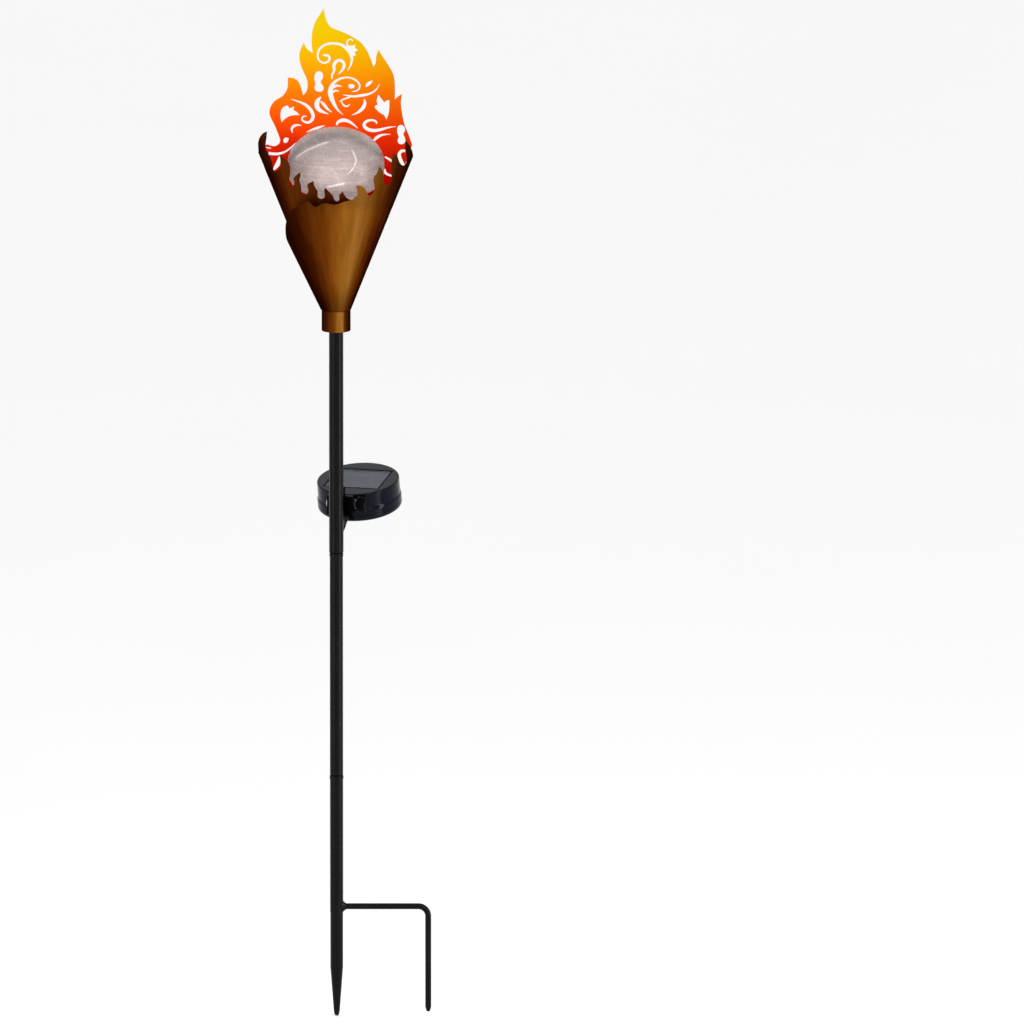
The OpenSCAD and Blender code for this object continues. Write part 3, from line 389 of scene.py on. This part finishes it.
def crackle_glass():
    """Blown glass, cracked in water: a web of fine fractures scatters the light, so that it looks milky.
    The glow, stronger towards the bottom, is painted light that brightens the glass down in the cone."""
    s = Shade("crackle_glass", IOR=1.3, Transmission_Weight=0.3, Specular_IOR_Level=0.4)
    cloud = s.add("ShaderNodeTexNoise", {"Vector": s.place, "Scale": 42.0, "Detail": 3.0}).outputs["Color"]
    drift = s.vector("SUBTRACT", cloud, (0.5, 0.5, 0.5))
    where = s.vector("ADD", s.place, s.vector("MULTIPLY", drift, (0.012, 0.012, 0.006)))
    squash = s.vector("MULTIPLY", where, (1, 1, 2.1))

    def fractures(size, width):
        """Lines between cells, 1 on a line and 0 further than width from it."""
        made = s.add("ShaderNodeTexVoronoi", {"Vector": squash, "Scale": size}, feature="DISTANCE_TO_EDGE")
        return s.fit(made.outputs["Distance"], 0.0, width, 1.0, 0.0)

    web = s.math("MAXIMUM", fractures(70, 0.06), s.math("MULTIPLY", fractures(190, 0.07), 0.4))
    v = art_height(s)
    x = s.add("ShaderNodeSeparateXYZ", {0: where}).outputs[0]
    x2 = s.math("MULTIPLY", x, x)

    def ridge(off, width):
        """1 on a line and 0 further than width from it."""
        return s.fit(s.math("ABSOLUTE", off), 0.0, width, 1.0, 0.0)

    def arch(height, top, curve, width):
        """A line that is highest at x = 0, where it is at top."""
        return ridge(s.math("SUBTRACT", s.math("ADD", height, s.math("MULTIPLY", x2, curve)), top), width)

    def between(value, low, high, soft):
        """1 from low to high, with soft ends inside that."""
        return s.math("MULTIPLY", s.fit(value, low, low + soft), s.fit(value, high - soft, high, 1.0, 0.0))

    # One dark arch high on the globe, and three painted highlight streaks: upper left, right and low
    wavy = s.math("ADD", v, s.math("MULTIPLY", s.noise(60, 2), 5 * MM))
    dark_arch = arch(wavy, 101 * MM, 12.0, 8 * MM)
    upper_left = s.math("MULTIPLY", arch(v, 91.5 * MM, 11.7, 1.7 * MM), between(x, -38 * MM, -3 * MM, 6 * MM))
    v_off = s.math("SUBTRACT", v, 77 * MM)
    bend = s.math("MULTIPLY", s.math("MULTIPLY", v_off, v_off), 38.0)
    right = s.math("MULTIPLY", ridge(s.math("SUBTRACT", s.math("ADD", x, bend), 17.8 * MM), 1.5 * MM),
                   between(v, 60 * MM, 88 * MM, 6 * MM))
    leaning = s.math("SUBTRACT", v, s.math("MULTIPLY", x, 0.2))
    low = s.math("MULTIPLY", ridge(s.math("SUBTRACT", leaning, 52.7 * MM), 1.6 * MM),
                 between(x, -10 * MM, 10 * MM, 4 * MM))
    painted_highlight_streaks = s.math("MAXIMUM", s.math("MAXIMUM", upper_left, right), low)
    hatch = s.noise(1.0, 3, 0.6, s.vector("MULTIPLY", s.place, (30, 30, 520)))
    # The glass's own grey, with a faint pink cast that is painted reflection of the red panel.
    tint = s.mix(s.noise(60, 3), srgb(178, 160, 157), srgb(194, 178, 175))
    tint = s.gain(tint, s.fit(hatch, 0.3, 0.7, 0.86, 1.14, smooth=False))
    tint = s.mix(s.math("MULTIPLY", dark_arch, 0.62), tint, srgb(118, 108, 106))
    tint = s.mix(s.math("MULTIPLY", web, 0.22), tint, srgb(236, 228, 226))
    # The painted highlight streaks, near white.
    tint = s.mix(s.math("MULTIPLY", painted_highlight_streaks, 0.8), tint, srgb(250, 243, 240))
    s.colour(tint)
    # Painted light: the globe glows in its own colours, more strongly towards the bottom, inside the cone.
    s.put(s.surface.inputs["Emission Color"], tint)
    s.put(s.surface.inputs["Emission Strength"], s.fit(v, 88 * MM, 48 * MM, 0.0, 0.42))
    s.rough(s.fit(s.math("ADD", web, s.math("MULTIPLY", s.noise(90, 2), 0.5)), 0.1, 1.2, 0.18, 0.42))
    first = s.bump(web, 0.16 * MM)
    s.bump(s.noise(70, 3), 0.4 * MM, first)
    return s.mat


def black_powder():
    """Black powder coat on steel: a fine satin orange peel, and painted highlight in lighter streaks along the
    tubes.
    """
    s = Shade("black_powder", Specular_IOR_Level=0.1)
    # Painted highlight: lighter streaks along the tubes.
    painted_streak_highlight = s.fit(s.noise(1, 4, 0.65, s.scaled((60, 60, 14))), 0.52, 0.78, 0.0, 0.5)
    s.colour(s.mix(painted_streak_highlight, srgb(5, 5, 5), srgb(22, 21, 20)))
    s.rough(s.fit(s.noise(240, 3), 0.3, 0.7, 0.22, 0.36))
    peel = s.bump(s.noise(1500, 2), 0.03 * MM)
    s.bump(s.noise(220, 2), 0.03 * MM, peel)
    return s.mat


def moulded(name, colour, scuff, low, high, spark=0.5, depth=0.01 * MM):
    """Moulded plastic or rubber: a faint flow pattern, fine grain and a few scuffs."""
    s = Shade(name, Specular_IOR_Level=spark)
    flow = s.noise(1, 3, 0.5, s.scaled((45, 70, 120)))
    mark = s.fit(s.noise(1, 5, 0.7, s.scaled((320, 90, 200))), 0.6, 0.78, 0.0, 0.45)
    base = s.mix(flow, colour, tuple(min(1.0, c * 1.5) for c in colour[:3]) + (1.0,))
    s.colour(s.mix(mark, base, scuff))
    s.rough(s.fit(s.math("ADD", flow, s.math("MULTIPLY", mark, 0.5)), 0.3, 1.0, low, high))
    grain = s.bump(s.noise(2200, 2), depth)
    s.bump(s.noise(90, 2), 0.06 * MM, grain)
    return s.mat


def plated(name, colour):
    """Zinc plate: turned marks, clouding and small dull spots."""
    s = Shade(name, Metallic=1.0)
    cloud = s.noise(420, 4, 0.6)
    s.colour(s.mix(cloud, colour, tuple(c * 0.6 for c in colour[:3]) + (1.0,)))
    s.rough(s.fit(cloud, 0.3, 0.7, 0.22, 0.42))
    s.bump(s.noise(1, 2, 0.5, s.scaled((900, 900, 5200))), 0.02 * MM)
    return s.mat


def circuit():
    """Green solder mask with copper tracks under it."""
    s = Shade("circuit", Roughness=0.35)
    bricks = {"Vector": s.place, "Scale": 190.0, "Mortar Size": 0.03}
    tracks = s.add("ShaderNodeTexBrick", bricks).outputs["Fac"]
    s.colour(s.mix(tracks, srgb(12, 74, 34), srgb(40, 120, 60)))
    s.bump(tracks, 0.04 * MM)
    return s.mat


def epoxy():
    """The LED's clear, slightly yellow body."""
    s = Shade("epoxy", Transmission_Weight=0.7, IOR=1.5, Roughness=0.12)
    s.colour(s.mix(s.noise(600, 2), srgb(255, 240, 190), srgb(245, 225, 150)))
    s.bump(s.noise(900, 2), 0.02 * MM)
    return s.mat


def unit_place(s):
    """Places across and along the solar unit's top, from its centre."""
    c, w = math.cos(ARM_TURN), math.sin(ARM_TURN)
    tilt_c, tilt_s = math.cos(UNIT_TILT), math.sin(UNIT_TILT)
    across, along = (c, -w, 0), (w * tilt_c, c * tilt_c, tilt_s)
    pivot = Vector((w * PIVOT_D, c * PIVOT_D, PIVOT_Z))
    centre = pivot.dot(Vector(along)) + UNIT_OFF
    a = s.vector("DOT_PRODUCT", s.place, across)
    b = s.math("SUBTRACT", s.vector("DOT_PRODUCT", s.place, along), centre)
    return a, b


def silicon():
    """A dark blue-grey cell: crystal grains of slightly different blue, fine silver fingers
    and two bus bars."""
    s = Shade("silicon", Specular_IOR_Level=0.1)
    a, b = unit_place(s)
    grain = s.add("ShaderNodeTexVoronoi", {"Vector": s.place, "Scale": 260.0}).outputs["Color"]
    shade = s.vector("DOT_PRODUCT", grain, (0.33, 0.33, 0.33))
    finger_pitch, bar_place = 1.6 * MM, 10 * MM
    phase = s.math("FRACT", s.math("DIVIDE", a, finger_pitch))
    finger = s.fit(s.math("ABSOLUTE", s.math("SUBTRACT", phase, 0.5)), 0.42, 0.48)
    off_bar = s.math("ABSOLUTE", s.math("SUBTRACT", s.math("ABSOLUTE", b), bar_place))
    bar = s.fit(off_bar, 0.3 * MM, 0.7 * MM, 1.0, 0.0)
    metal = s.math("MAXIMUM", s.math("MULTIPLY", finger, 0.25), s.math("MULTIPLY", bar, 0.4))
    cell = s.mix(shade, srgb(14, 16, 30), srgb(26, 29, 46))
    s.colour(s.mix(metal, cell, srgb(92, 95, 102)))
    s.rough(s.fit(shade, 0.2, 0.8, 0.3, 0.5))
    s.bump(shade, 0.02 * MM)
    return s.mat


def clear_window():
    """The clear resin window over the cell, black along its border and a little dusty."""
    s = Shade("clear_window", IOR=1.16)
    a, b = unit_place(s)
    dust = s.noise(1, 4, 0.7, s.scaled((160, 160, 160)))
    clear_a, clear_b, soft = 24.4 * MM, 19.2 * MM, 0.4 * MM
    border = s.math("MAXIMUM", s.fit(s.math("ABSOLUTE", a), clear_a, clear_a + soft),
                    s.fit(s.math("ABSOLUTE", b), clear_b, clear_b + soft))
    s.put(s.surface.inputs["Transmission Weight"], s.fit(border, 0.0, 1.0, 1.0, 0.0, smooth=False))
    s.put(s.surface.inputs["Specular IOR Level"], s.fit(border, 0.0, 1.0, 0.5, 0.06, smooth=False))
    clear = s.mix(s.fit(dust, 0.5, 0.8, 0.0, 0.4), srgb(240, 244, 255), srgb(186, 192, 208))
    s.colour(s.mix(border, clear, srgb(6, 6, 10)))
    s.rough(s.fit(dust, 0.35, 0.75, 0.05, 0.2))
    s.bump(s.noise(60, 2), 0.05 * MM)
    return s.mat


def sleeve():
    """The battery's shrink sleeve, in two clouded greens."""
    s = Shade("sleeve", Roughness=0.3)
    s.colour(s.mix(s.fit(s.noise(140, 3), 0.4, 0.7), srgb(34, 120, 54), srgb(60, 150, 78)))
    s.bump(s.noise(300, 3), 0.08 * MM)
    return s.mat


PAINT_FLAME = flame_paint()
BRONZE_SHELL = bronze("bronze_shell", SHELL_BRONZE_AND_PAINTED_LIGHT)
BRONZE_WRAP = bronze("bronze_wrap", WRAP_BRONZE_AND_PAINTED_LIGHT, painted_shade_under_edge=True, dark_foot=True)
BRONZE_COLLAR = bronze("bronze_collar", COLLAR_BRONZE_AND_PAINTED_LIGHT)
POWDER = black_powder()
GLOSS = moulded("gloss_black", srgb(3, 5, 15), srgb(14, 16, 28), 0.08, 0.18, spark=0.085, depth=0.004 * MM)
MATTE = moulded("matte_black", srgb(1, 1, 2), srgb(10, 10, 12), 0.3, 0.5, spark=0.03, depth=0.02 * MM)
RUBBER = moulded("rubber", srgb(6, 6, 6), srgb(28, 27, 26), 0.5, 0.7, spark=0.08, depth=0.02 * MM)
JACKET = moulded("lead_jacket", srgb(4, 4, 5), srgb(22, 22, 23), 0.28, 0.45, spark=0.1, depth=0.01 * MM)
ZINC = plated("zinc", srgb(176, 178, 184))
SLIDER = moulded("slider", srgb(206, 206, 202), srgb(150, 148, 144), 0.35, 0.5)


def dress_cad():
    """Gives each CAD node that no piece replaces its material."""
    dress(PAINT_FLAME, "flame_panel")
    dress(BRONZE_SHELL, "cone_shell", "panel_rivets", "wrap_rivets")
    dress(BRONZE_WRAP, "cone_wrap")
    dress(BRONZE_COLLAR, "collar")
    dress(POWDER, "upper_tube", "middle_tube", "lower_tube", "stake_prong", "bracket_screws")
    dress(GLOSS, "unit_base", "unit_lid", "battery_door")
    dress(MATTE, "lamp_holder", "pole_bracket", "tilt_knob", "switch_body")
    dress(RUBBER, "globe_seal", "pole_grommet", "lead_gland", "lid_gasket")
    dress(JACKET, "head_lead")
    dress(ZINC, "holder_screws", "tilt_screw", "tilt_washer", "board_screws", "door_screw", "case_screws",
          "battery_contacts", "support_disc")
    dress(circuit(), "led_board", "circuit_board")
    dress(epoxy(), "led")
    dress(silicon(), "solar_cell")
    dress(clear_window(), "panel_window")
    dress(sleeve(), "battery")
    dress(SLIDER, "switch_slider")


# ---------------------------------------------------------------- the lead
def make_lead():
    """The free length of the lead, from the pole's grommet up to the solar unit's gland."""
    points = [on_arm(*(v * MM for v in p)) for p in LEAD_ROUTE]
    line = spline(points, LEAD_STEPS)
    piece = tube_along("solar_lead_jacket", line, LEAD_D / 2, LEAD_SIDES)
    piece.data.materials.append(JACKET)
    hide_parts("solar_lead")
    # With the turn spread this far, the lead passes between the bracket and the unit at both ends of the tilt.
    # It still gets thinner there, by nearly half at the upper limit.
    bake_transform(piece)


# ---------------------------------------------------------------- the globe
def make_globe():
    """The blown globe: an uneven wall, a crackled skin and a ground neck."""
    around, up = 256, 120
    outer, inner = [], []
    top = math.pi / 2 - 0.004       # a little short of the axis; close_poles() welds the ring that is left
    low_outer, low_inner = math.radians(-67.2), math.radians(-69)
    for i in range(up + 1):
        t = top + (low_outer - math.pi / 2) * i / up
        outer.append((GLOBE_RX * math.cos(t), GLOBE_Z + GLOBE_RZ * math.sin(t)))
        t = low_inner + (top - low_inner) * i / up
        inner.append(((GLOBE_RX - GLASS) * math.cos(t), GLOBE_Z + (GLOBE_RZ - GLASS) * math.sin(t)))
    neck = [(NECK_R, 650 * MM), (NECK_R + 0.9 * MM, 648.9 * MM), (NECK_R, NECK_Z), (NECK_BORE, NECK_Z),
            (NECK_BORE, 655 * MM), (NECK_BORE, 661 * MM)]
    profile = outer + neck + inner
    last_outer = len(outer)
    first_inner = last_outer + len(neck)

    def uneven(p, i):
        """The wall's swells, ripples and, inside, chips, all left out at the neck, and its sag."""
        if last_outer <= i < first_inner:
            return p
        inside = i >= first_inner
        out = (p - Vector((0, 0, GLOBE_Z))).normalized()
        below = -math.atan2((p.z - GLOBE_Z) / GLOBE_RZ, math.hypot(p.x, p.y) / GLOBE_RX) / -low_outer
        sag = GLOBE_SAG * math.sin(math.pi * min(1.0, max(0.0, below))) ** 2
        soft = noise.fractal(p * 40, 1.0, 2.0, 2) * 0.2 * MM
        ripple = noise.noise(Vector((p.x * 30, p.y * 30, p.z * 260))) * 0.05 * MM
        depth = noise.cell(p * 180) * 0.12 * MM if inside else 0.0
        near_neck = min(1.0, max(0.0, (p.z - NECK_BLEND_Z) / NECK_BLEND))
        wall = (soft + ripple) * (0.6 if inside else 1.0) + depth - 0.3 * MM
        return p + out * (wall * near_neck + sag)

    piece = turned("crackle_globe", profile, around, uneven)
    close_poles(piece)
    finish_piece(piece, "head", crackle_glass(), "glass_globe")


def close_poles(piece):
    """Welds the small open rings at the top of a turned shell, outside and inside."""
    bm = bmesh.new()
    bm.from_mesh(piece.data)
    top = [v for v in bm.verts if math.hypot(v.co.x, v.co.y) < 0.4 * MM]
    outside = [v for v in top if v.co.z > GLOBE_Z + GLOBE_RZ - GLASS / 2]
    inside = [v for v in top if v not in set(outside)]
    for ring in (outside, inside):
        if ring:
            height = sum(v.co.z for v in ring) / len(ring)
            bmesh.ops.pointmerge(bm, verts=ring, merge_co=Vector((0, 0, height)))
    bmesh.ops.dissolve_degenerate(bm, dist=1e-7, edges=bm.edges)
    bmesh.ops.recalc_face_normals(bm, faces=bm.faces)
    bm.to_mesh(piece.data)
    bm.free()


# ---------------------------------------------------------------- small real pieces
def make_weld():
    """The fillet weld round the prong's rod, in overlapping ripples."""
    rings, sides = 30, 64
    end_x, root, toe = 8.6 * MM, 2.1 * MM, 0.25 * MM
    verts, faces = [], []
    for i in range(rings + 1):
        t = i / rings
        for k in range(sides):
            a = math.tau * k / sides
            ripple = 0.16 * MM * abs(math.sin(a * 7 + 1.3 * math.sin(t * 5)))
            fade = math.sin(math.pi * min(1, t + 0.15))
            swell = PRONG_R + toe + root * (1 - t) ** 1.7 + ripple * fade
            y, z = swell * math.cos(a), swell * math.sin(a)
            foot = math.sqrt(max(0.0, TUBE_R ** 2 - min(abs(y), TUBE_R * 0.98) ** 2))
            x = foot + 0.02 * MM + t * (end_x - foot)
            verts.append((x, y, BAR_Z + z))
    for i in range(rings):
        for k in range(sides):
            j = (k + 1) % sides
            faces.append((i * sides + k, (i + 1) * sides + k, (i + 1) * sides + j, i * sides + j))
    inner = len(verts)
    for x in (end_x, TUBE_R - 0.3 * MM):
        for k in range(sides):
            a = math.tau * k / sides
            r = PRONG_R + 0.01 * MM
            verts.append((x, r * math.cos(a), BAR_Z + r * math.sin(a)))
    for a, b in ((rings * sides, inner), (inner, inner + sides), (inner + sides, 0)):
        for k in range(sides):
            j = (k + 1) % sides
            faces.append((a + k, b + k, b + j, a + j))
    piece = new_piece("weld_bead", verts, faces)
    finish_piece(piece, "stake", POWDER, "prong_weld")


# ---------------------------------------------------------------- floor and light
def make_stage():
    """A plain pale floor, level with the lowest point of the stake."""
    floor_z = cad_box[0][2]
    corners = [(x * FLOOR_HALF, y * FLOOR_HALF, floor_z) for x, y in ((-1, -1), (1, -1), (1, 1), (-1, 1))]
    floor = new_piece("floor", corners, [(0, 1, 2, 3)], smooth=False)
    s = Shade("floor_paper", Roughness=0.7, Specular_IOR_Level=0.2)
    s.colour(s.mix(s.noise(3, 3), (0.92, 0.92, 0.92, 1), (0.935, 0.935, 0.93, 1)))
    floor.data.materials.append(s.mat)


def area_light(name, place, aim, width, height, watts):
    """A white rectangular lamp at place, turned towards aim and unseen by the camera."""
    data = bpy.data.lights.new(name, "AREA")
    data.shape, data.size, data.size_y = "RECTANGLE", width, height
    data.energy = watts
    lamp = bpy.data.objects.new(name, data)
    lamp.location = place
    lamp.rotation_mode = "QUATERNION"
    lamp.rotation_quaternion = (Vector(aim) - Vector(place)).to_track_quat("-Z", "Y")
    lamp.visible_camera = False
    bpy.context.scene.collection.objects.link(lamp)


def make_light():
    """An even white surround, a large soft key lamp and two strips."""
    world = bpy.data.worlds.new("studio")
    world.use_nodes = True
    back = world.node_tree.nodes["Background"]
    back.inputs["Color"].default_value = (1, 1, 1, 1)
    back.inputs["Strength"].default_value = 1.0
    bpy.context.scene.world = world
    area_light("key", (1.1, -2.4, 1.7), (0, 0, 0.55), 0.9, 1.3, 16)
    # Tall strips close by, for the two soft lines down the pole and the gleams on the solar unit
    for name, turn, width, watts in (("strip_left", -51, 0.14, 2.6), ("strip_right", 63, 0.2, 6.0)):
        a = math.radians(turn)
        place = (STRIP_REACH * math.sin(a), -STRIP_REACH * math.cos(a), STRIP_Z)
        area_light(name, place, (0, 0, STRIP_Z), width, 1.0, watts)
    bpy.context.scene.view_settings.view_transform = "Standard"


make_lead()
make_globe()
make_weld()
dress_cad()
make_stage()
make_light()

bpy.context.view_layer.update()
